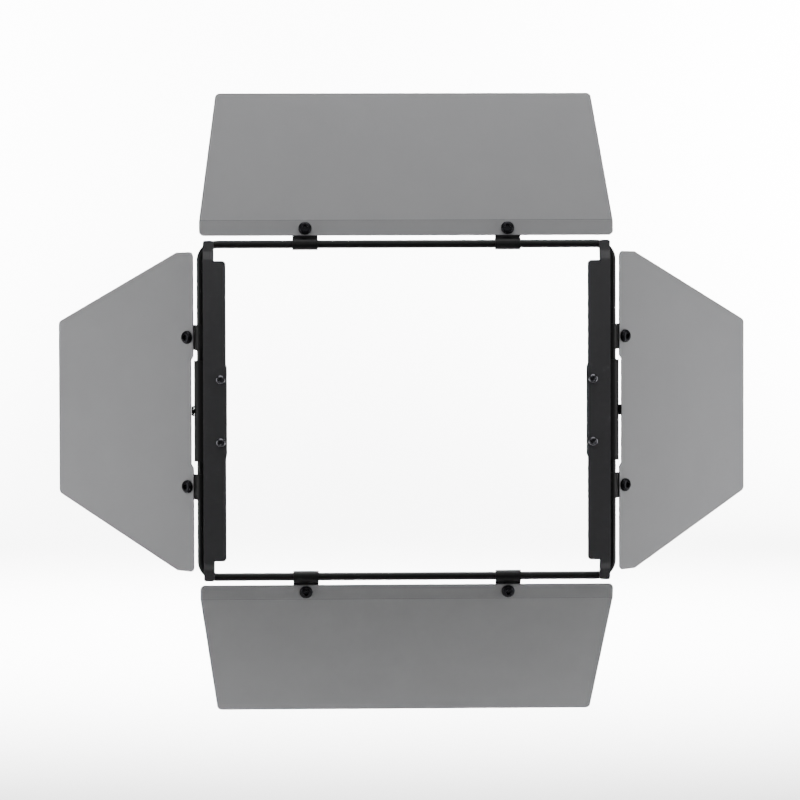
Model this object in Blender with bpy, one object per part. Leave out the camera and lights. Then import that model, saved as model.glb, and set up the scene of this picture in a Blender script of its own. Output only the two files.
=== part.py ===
"""Barn door attachment for a flat panel lamp.

A rounded rectangle of steel bar carries four sheet leaves. Each leaf is screwed to two
clips, folded strips that wrap the bar and grip it, so the bar itself is the hinge pin.
Two side plates slide into the lamp. Each is held to its bar by a rolled bracket.

X runs to the right, Y runs the way the light goes and Z is up. The origin is the middle
of the bar frame, in the plane of the four hinge axes.
"""

import math
from dataclasses import dataclass

import bmesh
import bpy
from mathutils import Matrix, Vector

MM = 0.001
GAP = 0.3 * MM

# Bar frame, on the bar's centre line
BAR_RADIUS = 3.175 * MM
BAR_HALF_WIDTH = 162.4 * MM
BAR_HALF_HEIGHT = 131.3 * MM
BAR_CORNER_RADIUS = 12.8 * MM

# Hinge clips, one folded strip each
CLIP_STRIP = 1.15 * MM
CLIP_SLIT = 0.3 * MM
CLIP_WIDTH = 20.0 * MM
CLIP_REACH = 18.0 * MM
CLIP_FOLD_RADIUS = 1.5 * MM
CLIP_OFFSET_TOP = 80.0 * MM
CLIP_OFFSET_SIDE = 59.0 * MM

# Leaves
LEAF_SHEET = 1.0 * MM
LEAF_SETBACK = 6.4 * MM
LEAF_BEND_RADIUS = 2.0 * MM
LEAF_BEND_STEPS = 3
TOP_FLANGE = 12.4 * MM
TOP_PANEL = 115.0 * MM
TOP_BEND = math.radians(10)
TOP_OVERHANG = 1.2 * MM
TOP_TAPER = 13.6 * MM
SIDE_FLANGE = 18.5 * MM
SIDE_END_CLEARANCE = 4.8 * MM
SIDE_MEETING_CLEARANCE = 1.0 * MM
SIDE_END_TAPER = 0.5 * MM
SIDE_TAPER = 57.3 * MM
SIDE_DROP = 1.0 * MM
HINGE_CORNER_RADIUS = 4.0 * MM
OUTER_CORNER_RADIUS = 4.0 * MM
RELIEF_DEPTH = 2.5 * MM
RELIEF_CLEARANCE = 1.4 * MM
RELIEF_SLOPE = 3.0 * MM

# Leaf angles from the frame's plane, away from the lamp
TOP_TILT = math.radians(18.5)
BOTTOM_TILT = math.radians(25)
LEFT_TILT = math.radians(45.5)
RIGHT_TILT = math.radians(44.5)

# Fasteners
HINGE_SCREW_REACH = 12.2 * MM
HINGE_NUT_FLATS = 10.0 * MM
HINGE_NUT_HEIGHT = 2.0 * MM
PLATE_SCREW_REACH = 15.3 * MM
PLATE_SCREW_OFFSET = 24.8 * MM
PLATE_NUT_FLATS = 7.0 * MM
PLATE_NUT_HEIGHT = 3.2 * MM
SCREW_END = 0.5 * MM
SCREW_POINT = 0.4 * MM
SHANK_PLAY = 0.1 * MM

# Side plates
PLATE_SHEET = 1.5 * MM
PLATE_INSET = 1.7 * MM
PLATE_WIDTH = 18.0 * MM
PLATE_TAB_START = 12.8 * MM
PLATE_CORNER_RADIUS = 3.0 * MM
PLATE_TAB_WIDTH = 8.7 * MM
PLATE_TAB_RADIUS = 2.0 * MM
JOGGLE_START = 1.0 * MM
JOGGLE_LENGTH = 7.0 * MM

# Rolled brackets
BRACKET_SHEET = 2.0 * MM
BRACKET_HALF_HEIGHT = 39.7 * MM
BRACKET_OVERHANG = 0.8 * MM
BRACKET_CORNER_RADIUS = 6.0 * MM
BRACKET_ROLL = math.radians(305)

BAR_SIDES = 16
CLIP_SIDES = 24
HOLE_SIDES = 20
ROLL_STEPS = 20
CORNER_STEPS = 5
DOME_STEPS = 4
SHARP_ANGLE = math.radians(35)


@dataclass(frozen=True)
class Screw:
    """The sizes of a button head screw with a hexagon socket."""

    thread_radius: float
    head_radius: float
    head_height: float
    head_flat: float
    head_rim: float
    socket_flats: float
    socket_depth: float
    sides: int


HINGE_SCREW = Screw(
    thread_radius=3.0 * MM, head_radius=5.25 * MM, head_height=3.3 * MM, head_flat=2.9 * MM,
    head_rim=0.6 * MM, socket_flats=4.0 * MM, socket_depth=2.0 * MM, sides=20,
)
PLATE_SCREW = Screw(
    thread_radius=2.0 * MM, head_radius=3.8 * MM, head_height=2.2 * MM, head_flat=2.1 * MM,
    head_rim=0.4 * MM, socket_flats=2.5 * MM, socket_depth=1.3 * MM, sides=16,
)
CLAMP_SCREW = Screw(
    thread_radius=2.0 * MM, head_radius=4.2 * MM, head_height=1.6 * MM, head_flat=1.6 * MM,
    head_rim=0.3 * MM, socket_flats=2.0 * MM, socket_depth=0.8 * MM, sides=16,
)

# Worked out from the sizes above; levels are heights over the hinge plane, towards the lamp
TOP_HALF_HINGE = BAR_HALF_WIDTH + TOP_OVERHANG
TOP_HALF_OUTER = TOP_HALF_HINGE - TOP_TAPER
SIDE_HALF_HINGE = BAR_HALF_HEIGHT - SIDE_END_CLEARANCE
SIDE_HALF_OUTER = SIDE_HALF_HINGE - SIDE_TAPER
SIDE_PANEL = BAR_HALF_WIDTH - SIDE_MEETING_CLEARANCE - LEAF_SETBACK - SIDE_FLANGE
PLATE_HALF_HEIGHT = BAR_HALF_HEIGHT - PLATE_TAB_START
BORE_RADIUS = BAR_RADIUS + GAP
CLIP_HALF = CLIP_SLIT / 2 + CLIP_STRIP
LEAF_LEVEL = CLIP_HALF + GAP
HINGE_HEAD_LEVEL = LEAF_LEVEL + LEAF_SHEET + GAP
HINGE_NUT_LEVEL = -CLIP_HALF - GAP - HINGE_NUT_HEIGHT
BRACKET_RADIUS = BORE_RADIUS + BRACKET_SHEET
PLATE_LEVEL = BRACKET_RADIUS + GAP
PLATE_HEAD_LEVEL = PLATE_LEVEL + PLATE_SHEET + GAP
PLATE_NUT_LEVEL = BORE_RADIUS - GAP - PLATE_NUT_HEIGHT
BRACKET_REACH = PLATE_INSET + PLATE_WIDTH + BRACKET_OVERHANG
PLATE_TAB_TOP = BAR_HALF_HEIGHT + BAR_RADIUS


def clear_scene():
    """Remove whatever the file holds, so that the model stands alone."""
    for old in list(bpy.data.objects):
        bpy.data.objects.remove(old, do_unlink=True)


def make_material(name, colour, roughness, metallic):
    """A Principled material with one colour."""
    material = bpy.data.materials.new(name)
    material.use_nodes = True
    shader = material.node_tree.nodes["Principled BSDF"]
    shader.inputs["Base Color"].default_value = (*colour, 1.0)
    shader.inputs["Roughness"].default_value = roughness
    shader.inputs["Metallic"].default_value = metallic
    return material


def make_empty(name, matrix):
    """A frame that the pieces of one assembly are placed in."""
    empty = bpy.data.objects.new(name, None)
    bpy.context.collection.objects.link(empty)
    empty.matrix_world = matrix
    return empty


def make_mesh(name, bm):
    """A mesh from finished geometry, with its faces turned outwards."""
    data = bpy.data.meshes.new(name)
    bmesh.ops.recalc_face_normals(bm, faces=bm.faces)
    bm.to_mesh(data)
    bm.free()
    return data


def make_object(name, bm, material, parent, place=Matrix.Identity(4)):
    """One named piece, shaded smooth but for its real edges, at its place under its parent."""
    data = make_mesh(name, bm)
    data.materials.append(material)
    data.shade_smooth()
    data.set_sharp_from_angle(angle=SHARP_ANGLE)
    piece = bpy.data.objects.new(name, data)
    bpy.context.collection.objects.link(piece)
    piece.parent = parent
    piece.matrix_local = place
    return piece


def arc(centre_x, centre_y, radius, start, end, steps):
    """Points along an arc, both ends included; angles in degrees."""
    points = []
    for step in range(steps + 1):
        angle = math.radians(start + (end - start) * step / steps)
        points.append((centre_x + radius * math.cos(angle), centre_y + radius * math.sin(angle)))
    return points


def ring(centre_x, centre_y, radius, sides):
    """A closed round outline, such as a hole."""
    return arc(centre_x, centre_y, radius, 0, 360 * (sides - 1) / sides, sides - 1)


def hexagon(across_flats):
    """A closed hexagon outline."""
    return ring(0.0, 0.0, across_flats / math.sqrt(3), 6)


def rounded(corners):
    """An outline from (x, y, radius) corners, each turned into an arc tangent to its sides."""
    points = []
    for index, (x, y, radius) in enumerate(corners):
        here = Vector((x, y))
        before = (Vector(corners[index - 1][:2]) - here).normalized()
        after = (Vector(corners[(index + 1) % len(corners)][:2]) - here).normalized()
        if radius <= 0:
            points.append((x, y))
            continue
        half = before.angle(after) / 2
        bisector = (before + after).normalized()
        centre = here + bisector * radius / math.sin(half)
        start = here + before * radius / math.tan(half) - centre
        end = here + after * radius / math.tan(half) - centre
        turn = start.angle_signed(end)
        for step in range(CORNER_STEPS + 1):
            spoke = start.copy()
            spoke.rotate(Matrix.Rotation(-turn * step / CORNER_STEPS, 2))
            points.append(tuple(centre + spoke))
    return points


def sheet(outline, holes, thickness, level, cuts=()):
    """A flat sheet with holes, cut into strips where it will be folded, from level upwards."""
    bm = bmesh.new()
    edges = []
    for loop in [outline, *holes]:
        verts = [bm.verts.new((x, y, level)) for x, y in loop]
        edges += [bm.edges.new((verts[i - 1], verts[i])) for i in range(len(verts))]
    bmesh.ops.triangle_fill(bm, use_beauty=True, use_dissolve=False, edges=edges, normal=(0, 0, 1))
    for point, normal in cuts:
        geometry = bm.verts[:] + bm.edges[:] + bm.faces[:]
        bmesh.ops.bisect_plane(bm, geom=geometry, dist=1e-7, plane_co=point, plane_no=normal)
    extruded = bmesh.ops.extrude_face_region(bm, geom=bm.faces[:])
    risen = [item for item in extruded["geom"] if isinstance(item, bmesh.types.BMVert)]
    bmesh.ops.translate(bm, verts=risen, vec=(0, 0, thickness))
    return bm


def fold(bm, start, level, radius, angle):
    """Bend what lies past x = start round a line at height level - radius, by angle."""
    length = radius * angle
    for vert in bm.verts:
        past = vert.co.x - start
        if past <= 0:
            continue
        turned = angle * min(past / length, 1.0)
        straight = max(past - length, 0.0)
        arm = radius + vert.co.z - level
        vert.co.x = start + arm * math.sin(turned) + straight * math.cos(turned)
        vert.co.z = level - radius + arm * math.cos(turned) - straight * math.sin(turned)


def turned(profile, sides):
    """A solid turned round Z from (radius, height) points that start and end on the axis."""
    bm = bmesh.new()
    verts = [bm.verts.new((radius, 0.0, height)) for radius, height in profile]
    edges = [bm.edges.new((verts[i], verts[i + 1])) for i in range(len(verts) - 1)]
    bmesh.ops.spin(
        bm, geom=verts + edges, cent=(0, 0, 0), axis=(0, 0, 1),
        angle=2 * math.pi, steps=sides, use_merge=True,
    )
    bmesh.ops.remove_doubles(bm, verts=bm.verts[:], dist=1e-6)
    return bm


def cut_with(piece, bm, name):
    """Cut a closed shape out of a piece; the cutter stays in the file as a guide."""
    cutter = bpy.data.objects.new(name, make_mesh(name, bm))
    bpy.context.collection.objects.link(cutter)
    cutter.parent = piece
    cutter.hide_render = True
    cutter.display_type = "WIRE"
    cut = piece.modifiers.new(name, "BOOLEAN")
    cut.operation = "DIFFERENCE"
    cut.solver = "EXACT"
    cut.object = cutter


def add_screw(name, parent, place, screw, length, material):
    """A screw with its head above Z = 0 and its shank below."""
    shank = screw.thread_radius - SHANK_PLAY
    rise = screw.head_height - screw.head_rim
    shoulder = screw.head_radius - screw.head_flat
    profile = [(0.0, -length), (shank - SCREW_POINT, -length), (shank, SCREW_POINT - length), (shank, 0.0)]
    profile += [(screw.head_radius, 0.0)]
    for step in range(DOME_STEPS + 1):
        angle = math.pi / 2 * step / DOME_STEPS
        across = screw.head_flat + shoulder * math.cos(angle)
        profile.append((across, screw.head_rim + rise * math.sin(angle)))
    profile.append((0.0, screw.head_height))
    piece = make_object(name, turned(profile, screw.sides), material, parent, place)
    floor = screw.head_height - screw.socket_depth
    pocket = sheet(hexagon(screw.socket_flats), [], screw.head_height, floor)
    cut_with(piece, pocket, name + "_socket")


def add_nut(name, parent, place, flats, height, screw, material):
    """A hexagon nut from Z = 0 up, bored clear of its screw."""
    bore = ring(0.0, 0.0, screw.thread_radius + GAP - SHANK_PLAY, HOLE_SIDES)
    make_object(name, sheet(hexagon(flats), [bore], height, 0.0), material, parent, place)


def at(x, y, z):
    """A place with no turn."""
    return Matrix.Translation((x, y, z))


def add_bar_frame(material):
    """The bar, bent to a rounded rectangle and closed."""
    corner_x = BAR_HALF_WIDTH - BAR_CORNER_RADIUS
    corner_z = BAR_HALF_HEIGHT - BAR_CORNER_RADIUS
    points = []
    for sign_x, sign_z, start in ((1, 1, 0), (-1, 1, 90), (-1, -1, 180), (1, -1, 270)):
        points += arc(sign_x * corner_x, sign_z * corner_z, BAR_CORNER_RADIUS, start, start + 90, 8)
    curve = bpy.data.curves.new("bar_frame", "CURVE")
    curve.dimensions = "3D"
    curve.bevel_depth = BAR_RADIUS
    curve.bevel_resolution = BAR_SIDES // 2 - 2
    curve.use_fill_caps = True
    spline = curve.splines.new("POLY")
    spline.points.add(len(points) - 1)
    for point, (x, z) in zip(spline.points, points):
        point.co = (x, 0.0, z, 1.0)
    spline.use_cyclic_u = True
    curve.materials.append(material)
    bar = bpy.data.objects.new("bar_frame", curve)
    bpy.context.collection.objects.link(bar)


def clip_outline():
    """Section of a clip: a strip folded once round the bar, its two legs side by side."""
    outer = BORE_RADIUS + CLIP_STRIP
    blend_y = CLIP_HALF + CLIP_FOLD_RADIUS
    reach = outer + CLIP_FOLD_RADIUS
    blend_x = math.sqrt(reach ** 2 - blend_y ** 2)
    lean = math.degrees(math.atan2(blend_y, blend_x))
    inner_fold = CLIP_FOLD_RADIUS + CLIP_STRIP
    slit = CLIP_SLIT / 2
    return [
        (CLIP_REACH, CLIP_HALF),
        *arc(blend_x, blend_y, CLIP_FOLD_RADIUS, 270, 180 + lean, 3),
        *arc(0.0, 0.0, outer, lean, 360 - lean, CLIP_SIDES)[1:],
        *arc(blend_x, -blend_y, CLIP_FOLD_RADIUS, 180 - lean, 90, 3)[1:],
        (CLIP_REACH, -CLIP_HALF),
        (CLIP_REACH, -slit),
        *arc(blend_x, -blend_y, inner_fold, 90, 180 - lean, 3),
        *arc(0.0, 0.0, BORE_RADIUS, 360 - lean, lean, CLIP_SIDES)[1:],
        *arc(blend_x, blend_y, inner_fold, 180 + lean, 270, 3)[1:],
        (CLIP_REACH, slit),
    ]


def add_clip(name, parent, offset, material):
    """A clip round the bar, with the hinge screw's hole through both legs."""
    bm = sheet(clip_outline(), [], CLIP_WIDTH, -CLIP_WIDTH / 2)
    upright = Matrix.Rotation(math.pi / 2, 4, "X")
    bmesh.ops.transform(bm, matrix=upright, verts=bm.verts)
    clip = make_object(name, bm, material, parent, at(0.0, offset, 0.0))
    hole = ring(HINGE_SCREW_REACH, 0.0, HINGE_SCREW.thread_radius + GAP, HOLE_SIDES)
    cut_with(clip, sheet(hole, [], 4 * CLIP_HALF, -2 * CLIP_HALF), name + "_hole")
    return clip


def leaf_outline(flange, panel, bend, half_hinge, half_kink, half_outer, relief_half):
    """A leaf laid flat: square ended flange, then a panel whose sides slope in."""
    stretch = (LEAF_BEND_RADIUS + LEAF_SHEET / 2) * bend
    kink = LEAF_SETBACK + flange
    outer = kink + stretch + panel
    corners = [
        (LEAF_SETBACK, -half_hinge, HINGE_CORNER_RADIUS),
        (kink, -half_kink, 0),
        (outer, -half_outer, OUTER_CORNER_RADIUS),
        (outer, half_outer, OUTER_CORNER_RADIUS),
        (kink, half_kink, 0),
        (LEAF_SETBACK, half_hinge, HINGE_CORNER_RADIUS),
    ]
    if relief_half:
        floor = LEAF_SETBACK + RELIEF_DEPTH
        corners += [
            (LEAF_SETBACK, relief_half + RELIEF_SLOPE, 0),
            (floor, relief_half, 0),
            (floor, -relief_half, 0),
            (LEAF_SETBACK, -relief_half - RELIEF_SLOPE, 0),
        ]
    return rounded(corners)


def add_leaf(name, parent, sizes, clip_offset, relief_half, material):
    """A sheet leaf on the lamp side of its clips, with its panel bent away from the lamp."""
    flange, _, bend = sizes[:3]
    hole = HINGE_SCREW.thread_radius + GAP
    holes = [ring(HINGE_SCREW_REACH, side * clip_offset, hole, HOLE_SIDES) for side in (-1, 1)]
    start = LEAF_SETBACK + flange
    radius = LEAF_BEND_RADIUS + LEAF_SHEET / 2
    cuts = []
    if bend:
        strip = radius * bend / LEAF_BEND_STEPS
        cuts = [((start + strip * step, 0, 0), (1, 0, 0)) for step in range(LEAF_BEND_STEPS + 1)]
    bm = sheet(leaf_outline(*sizes, relief_half), holes, LEAF_SHEET, LEAF_LEVEL, cuts)
    if bend:
        fold(bm, start, LEAF_LEVEL + LEAF_SHEET / 2, radius, bend)
    make_object(name, bm, material, parent)


def hinge_frame(quarter_turns, distance, drop, tilt):
    """A leaf's frame: X out from the bar, Y along it, Z out of the leaf's lamp side."""
    side = Matrix.Rotation(-quarter_turns * math.pi / 2, 4, "Y")
    out = side @ Vector((distance, 0, 0))
    stand = Matrix.Rotation(math.pi / 2, 4, "X")
    lean = Matrix.Rotation(tilt, 4, "Y")
    return Matrix.Translation(out - Vector((0, 0, drop))) @ side @ stand @ lean


def add_leaf_assembly(side, matrix, leaf_sizes, clip_offset, relief_half, materials):
    """A leaf with its two clips, hinge screws and press nuts, all in the hinge's frame."""
    hinge = make_empty(side + "_hinge", matrix)
    add_leaf(side + "_leaf", hinge, leaf_sizes, clip_offset, relief_half, materials["leaf"])
    length = HINGE_HEAD_LEVEL - HINGE_NUT_LEVEL + SCREW_END
    for number, sign in ((1, -1), (2, 1)):
        offset = sign * clip_offset
        add_clip(f"{side}_clip_{number}", hinge, offset, materials["strip"])
        head = at(HINGE_SCREW_REACH, offset, HINGE_HEAD_LEVEL)
        add_screw(f"{side}_hinge_screw_{number}", hinge, head, HINGE_SCREW, length, materials["screw"])
        nut = at(HINGE_SCREW_REACH, offset, HINGE_NUT_LEVEL)
        add_nut(
            f"{side}_hinge_nut_{number}", hinge, nut, HINGE_NUT_FLATS, HINGE_NUT_HEIGHT,
            HINGE_SCREW, materials["nut"],
        )


def plate_outline():
    """A side plate laid flat: wide between its joggles, with a narrow tab at each end."""
    inner = PLATE_INSET + PLATE_WIDTH
    tab = PLATE_INSET + PLATE_TAB_WIDTH
    return rounded([
        (PLATE_INSET, -PLATE_TAB_TOP, PLATE_TAB_RADIUS),
        (tab, -PLATE_TAB_TOP, PLATE_TAB_RADIUS),
        (tab, -PLATE_HALF_HEIGHT, 0),
        (inner, -PLATE_HALF_HEIGHT, PLATE_CORNER_RADIUS),
        (inner, PLATE_HALF_HEIGHT, PLATE_CORNER_RADIUS),
        (tab, PLATE_HALF_HEIGHT, 0),
        (tab, PLATE_TAB_TOP, PLATE_TAB_RADIUS),
        (PLATE_INSET, PLATE_TAB_TOP, PLATE_TAB_RADIUS),
    ])


def add_plate(name, parent, material):
    """A side plate over its bracket, with tabs joggled down to the bar's corners."""
    hole = PLATE_SCREW.thread_radius + GAP
    holes = [
        ring(PLATE_SCREW_REACH, side * PLATE_SCREW_OFFSET, hole, HOLE_SIDES) for side in (-1, 1)
    ]
    start = PLATE_HALF_HEIGHT + JOGGLE_START
    cuts = [
        ((0, side * (start + step), 0), (0, side, 0))
        for side in (-1, 1) for step in (0.0, JOGGLE_LENGTH)
    ]
    bm = sheet(plate_outline(), holes, PLATE_SHEET, PLATE_LEVEL, cuts)
    drop = PLATE_LEVEL - BORE_RADIUS
    for vert in bm.verts:
        past = (abs(vert.co.y) - start) / JOGGLE_LENGTH
        vert.co.z -= drop * min(max(past, 0.0), 1.0)
    make_object(name, bm, material, parent)


def add_bracket(name, parent, material):
    """A bracket: a flat tongue under the plate, rolled round the bar at its outer end."""
    radius = BORE_RADIUS + BRACKET_SHEET / 2
    length = radius * BRACKET_ROLL
    outline = rounded([
        (-BRACKET_REACH, -BRACKET_HALF_HEIGHT, BRACKET_CORNER_RADIUS),
        (length, -BRACKET_HALF_HEIGHT, 0),
        (length, BRACKET_HALF_HEIGHT, 0),
        (-BRACKET_REACH, BRACKET_HALF_HEIGHT, BRACKET_CORNER_RADIUS),
    ])
    hole = PLATE_SCREW.thread_radius + GAP
    holes = [
        ring(-PLATE_SCREW_REACH, side * PLATE_SCREW_OFFSET, hole, HOLE_SIDES) for side in (-1, 1)
    ]
    holes.append(ring(radius * math.pi / 2, 0.0, CLAMP_SCREW.thread_radius + GAP, HOLE_SIDES))
    cuts = [((length * step / ROLL_STEPS, 0, 0), (1, 0, 0)) for step in range(ROLL_STEPS)]
    bm = sheet(outline, holes, BRACKET_SHEET, BORE_RADIUS, cuts)
    fold(bm, 0.0, BORE_RADIUS + BRACKET_SHEET / 2, radius, BRACKET_ROLL)
    bmesh.ops.scale(bm, vec=(-1, 1, 1), verts=bm.verts)
    make_object(name, bm, material, parent)


def add_side_assembly(side, quarter_turns, materials):
    """A side plate, its bracket, plate screws and nuts, and the bracket's clamp screw."""
    base = hinge_frame(quarter_turns, BAR_HALF_WIDTH, 0.0, 0.0)
    inward = base @ Matrix.Rotation(math.pi, 4, "Z")
    mount = make_empty(side + "_mount", inward)
    add_plate(side + "_side_plate", mount, materials["plate"])
    add_bracket(side + "_bracket", mount, materials["strip"])
    length = PLATE_HEAD_LEVEL - PLATE_NUT_LEVEL + SCREW_END
    for number, sign in ((1, -1), (2, 1)):
        offset = sign * PLATE_SCREW_OFFSET
        head = at(PLATE_SCREW_REACH, offset, PLATE_HEAD_LEVEL)
        add_screw(f"{side}_plate_screw_{number}", mount, head, PLATE_SCREW, length, materials["screw"])
        nut = at(PLATE_SCREW_REACH, offset, PLATE_NUT_LEVEL)
        add_nut(
            f"{side}_plate_nut_{number}", mount, nut, PLATE_NUT_FLATS, PLATE_NUT_HEIGHT,
            PLATE_SCREW, materials["nut"],
        )
    head = at(-BRACKET_RADIUS - GAP, 0.0, 0.0) @ Matrix.Rotation(-math.pi / 2, 4, "Y")
    length = BRACKET_SHEET + GAP
    add_screw(side + "_clamp_screw", mount, head, CLAMP_SCREW, length, materials["screw"])


def main():
    clear_scene()
    materials = {
        "bar": make_material("black_satin_bar", (0.012, 0.012, 0.013), 0.35, 0.0),
        "strip": make_material("black_painted_strip", (0.010, 0.010, 0.011), 0.45, 0.0),
        "plate": make_material("dark_grey_plate", (0.035, 0.035, 0.037), 0.5, 0.0),
        "leaf": make_material("grey_powder_coat", (0.27, 0.27, 0.275), 0.55, 0.0),
        "screw": make_material("black_oxide_screw", (0.012, 0.012, 0.013), 0.3, 0.8),
        "nut": make_material("zinc_nut", (0.35, 0.35, 0.36), 0.35, 1.0),
    }
    add_bar_frame(materials["bar"])
    for side, quarter_turns in (("right", 0), ("left", 2)):
        add_side_assembly(side, quarter_turns, materials)
    top_sizes = (TOP_FLANGE, TOP_PANEL, TOP_BEND, TOP_HALF_HINGE, TOP_HALF_HINGE, TOP_HALF_OUTER)
    side_kink = SIDE_HALF_HINGE - SIDE_END_TAPER
    side_sizes = (SIDE_FLANGE, SIDE_PANEL, 0.0, SIDE_HALF_HINGE, side_kink, SIDE_HALF_OUTER)
    relief = BRACKET_HALF_HEIGHT + RELIEF_CLEARANCE
    for side, quarter_turns, tilt in (("top", 1, TOP_TILT), ("bottom", 3, BOTTOM_TILT)):
        matrix = hinge_frame(quarter_turns, BAR_HALF_HEIGHT, 0.0, tilt)
        add_leaf_assembly(side, matrix, top_sizes, CLIP_OFFSET_TOP, 0.0, materials)
    for side, quarter_turns, tilt in (("right", 0, RIGHT_TILT), ("left", 2, LEFT_TILT)):
        matrix = hinge_frame(quarter_turns, BAR_HALF_WIDTH, SIDE_DROP, tilt)
        add_leaf_assembly(side, matrix, side_sizes, CLIP_OFFSET_SIDE, relief, materials)


main()
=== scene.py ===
"""Barn door attachment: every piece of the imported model, remade with its finish, and a studio.

Each leaf is drawn in its hinge's frame, where X runs out from the bar, Y runs along it and
Z points to the lamp. Each side plate is drawn in a frame whose X runs in from its bar.
"""

import math
from typing import NamedTuple

import bmesh
import bpy
from mathutils import Matrix, Vector


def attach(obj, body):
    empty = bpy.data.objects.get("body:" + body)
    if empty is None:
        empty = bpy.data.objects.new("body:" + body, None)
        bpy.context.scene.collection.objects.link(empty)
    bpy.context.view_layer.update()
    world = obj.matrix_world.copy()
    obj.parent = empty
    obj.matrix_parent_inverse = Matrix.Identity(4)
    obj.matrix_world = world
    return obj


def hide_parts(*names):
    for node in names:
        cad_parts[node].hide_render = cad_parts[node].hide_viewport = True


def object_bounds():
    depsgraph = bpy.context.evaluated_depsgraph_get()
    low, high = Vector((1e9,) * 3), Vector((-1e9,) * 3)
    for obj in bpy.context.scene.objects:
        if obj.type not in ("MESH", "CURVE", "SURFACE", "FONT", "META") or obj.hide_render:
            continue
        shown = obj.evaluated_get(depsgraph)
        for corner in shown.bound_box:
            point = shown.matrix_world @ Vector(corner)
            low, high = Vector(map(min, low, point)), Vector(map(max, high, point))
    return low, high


bl_info = {
    "name": "Barn Door Attachment",
    "version": (1, 0, 0),
    "blender": (4, 5, 0),
    "location": "3D View > Sidebar > Barn Doors",
    "description": "Builds a four leaf barn door for a flat panel lamp",
    "category": "Add Mesh",
}

MM = 0.001

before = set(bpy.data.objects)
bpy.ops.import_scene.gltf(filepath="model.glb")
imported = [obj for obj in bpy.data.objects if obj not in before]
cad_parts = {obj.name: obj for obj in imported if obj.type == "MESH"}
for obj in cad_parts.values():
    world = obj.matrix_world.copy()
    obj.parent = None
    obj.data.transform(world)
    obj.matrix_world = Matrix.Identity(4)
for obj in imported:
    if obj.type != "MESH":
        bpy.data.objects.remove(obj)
CAD_BOX = [list(corner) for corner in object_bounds()]

LEFT_RIGHT = (("right", 0), ("left", 2))
TOP_BOTTOM = (("top", 1), ("bottom", 3))
PAIR = ((1, -1), (2, 1))

# Edges that turn by more than this are rounded, or kept sharp on a piece too small to round
SHARP_ANGLE = math.radians(40)
HOLE_SIDES = 40
# How far a face has turned from the flange towards the panel, as a part of the whole bend
BEND_START = 0.1
BEND_END = 0.95


class Screw(NamedTuple):
    """Radii of thread, head and flat top, heights of head and rim, socket across flats, depth, pitch."""

    thread: float
    head: float
    height: float
    flat: float
    rim: float
    flats: float
    depth: float
    pitch: float


HINGE_SCREW = Screw(
    thread=2.9 * MM, head=5.25 * MM, height=3.3 * MM, flat=2.9 * MM, rim=0.6 * MM, flats=4.0 * MM,
    depth=2.0 * MM, pitch=1.0 * MM,
)
PLATE_SCREW = Screw(
    thread=1.9 * MM, head=3.8 * MM, height=2.2 * MM, flat=2.1 * MM, rim=0.4 * MM, flats=2.5 * MM,
    depth=1.3 * MM, pitch=0.7 * MM,
)
CLAMP_SCREW = Screw(
    thread=1.9 * MM, head=4.2 * MM, height=1.85 * MM, flat=2.6 * MM, rim=0.9 * MM, flats=2.0 * MM,
    depth=0.8 * MM, pitch=0.7 * MM,
)
# Length of each screw under its head, and how far its head is from the hinge axis or the bar's middle
HINGE_SCREW_LENGTH = 7.0 * MM
HINGE_SCREW_LEVEL = 2.9 * MM
PLATE_SCREW_LENGTH = 7.6 * MM
PLATE_SCREW_LEVEL = 7.575 * MM
CLAMP_SCREW_LENGTH = 1.8 * MM
CLAMP_SCREW_LEVEL = -5.525 * MM
# Each nut's width across flats, height and bore radius, and the level of its lower face
PRESS_NUT = (10.0 * MM, 2.0 * MM, 3.2 * MM)
PRESS_NUT_LEVEL = -3.6 * MM
HEX_NUT = (7.0 * MM, 3.2 * MM, 2.2 * MM)
HEX_NUT_LEVEL = -0.025 * MM
CLIP_CORNER = 1.2 * MM
# From the end of the plate's wide part to its step
JOGGLE_START = 1.0 * MM

# The studio, in metres: the sweep runs along Y from its front, under the object, to its back
FLOOR_DROP = 0.12
SWEEP_FRONT = -6.0
SWEEP_BACK = 5.0
SWEEP_CURVE = 1.0
SWEEP_TOP = 6.0
SWEEP_HALF_WIDTH = 6.0
WORLD_STRENGTH = 0.05

# Each lamp's name, place, aim, width and height, watts, and spread in degrees
SOFTBOXES = (
    ("top_softbox", (0, -0.15, 0.85), (0, 0.05, 0.2), (1.0, 0.3), 2.6, 120),
    ("left_softbox", (-0.62, -0.15, 0), (-0.28, 0.1, 0), (0.2, 0.6), 1.0, 120),
    ("right_softbox", (0.62, -0.15, 0), (0.28, 0.1, 0), (0.2, 0.6), 1.18, 120),
    ("low_softbox", (0, -0.1, -0.35), (0, 0.12, -0.24), (0.9, 0.08), 0.14, 120),
    ("near_softbox", (0, -0.35, 0.45), (0, 0, 0.1), (0.9, 0.15), 0.2, 120),
    ("key_softbox", (0, -0.9, 0.42), (0, 0, 0), (1.0, 0.2), 0.75, 120),
    ("floor_wash", (0, 2.2, 2.2), (0, 2.2, 0), (3.0, 2.6), 520, 60),
    ("backdrop_wash", (-2.0, 3.9, 0.2), (0, 5.0, 0), (0.6, 2.0), 420, 100),
    ("backdrop_wash", (2.0, 3.9, 0.2), (0, 5.0, 0), (0.6, 2.0), 420, 100),
)

# Lens and sensor in millimetres; the camera turns about the origin, then stands off along its own axes
LENS = 225.0
SENSOR = 36.0
CAMERA_PITCH = math.radians(2.35)
CAMERA_YAW = math.radians(2.3)
CAMERA_ROLL = math.radians(-0.14)
CAMERA_STAND = (-5.4 * MM, 8.1 * MM, 3.95)


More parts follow.
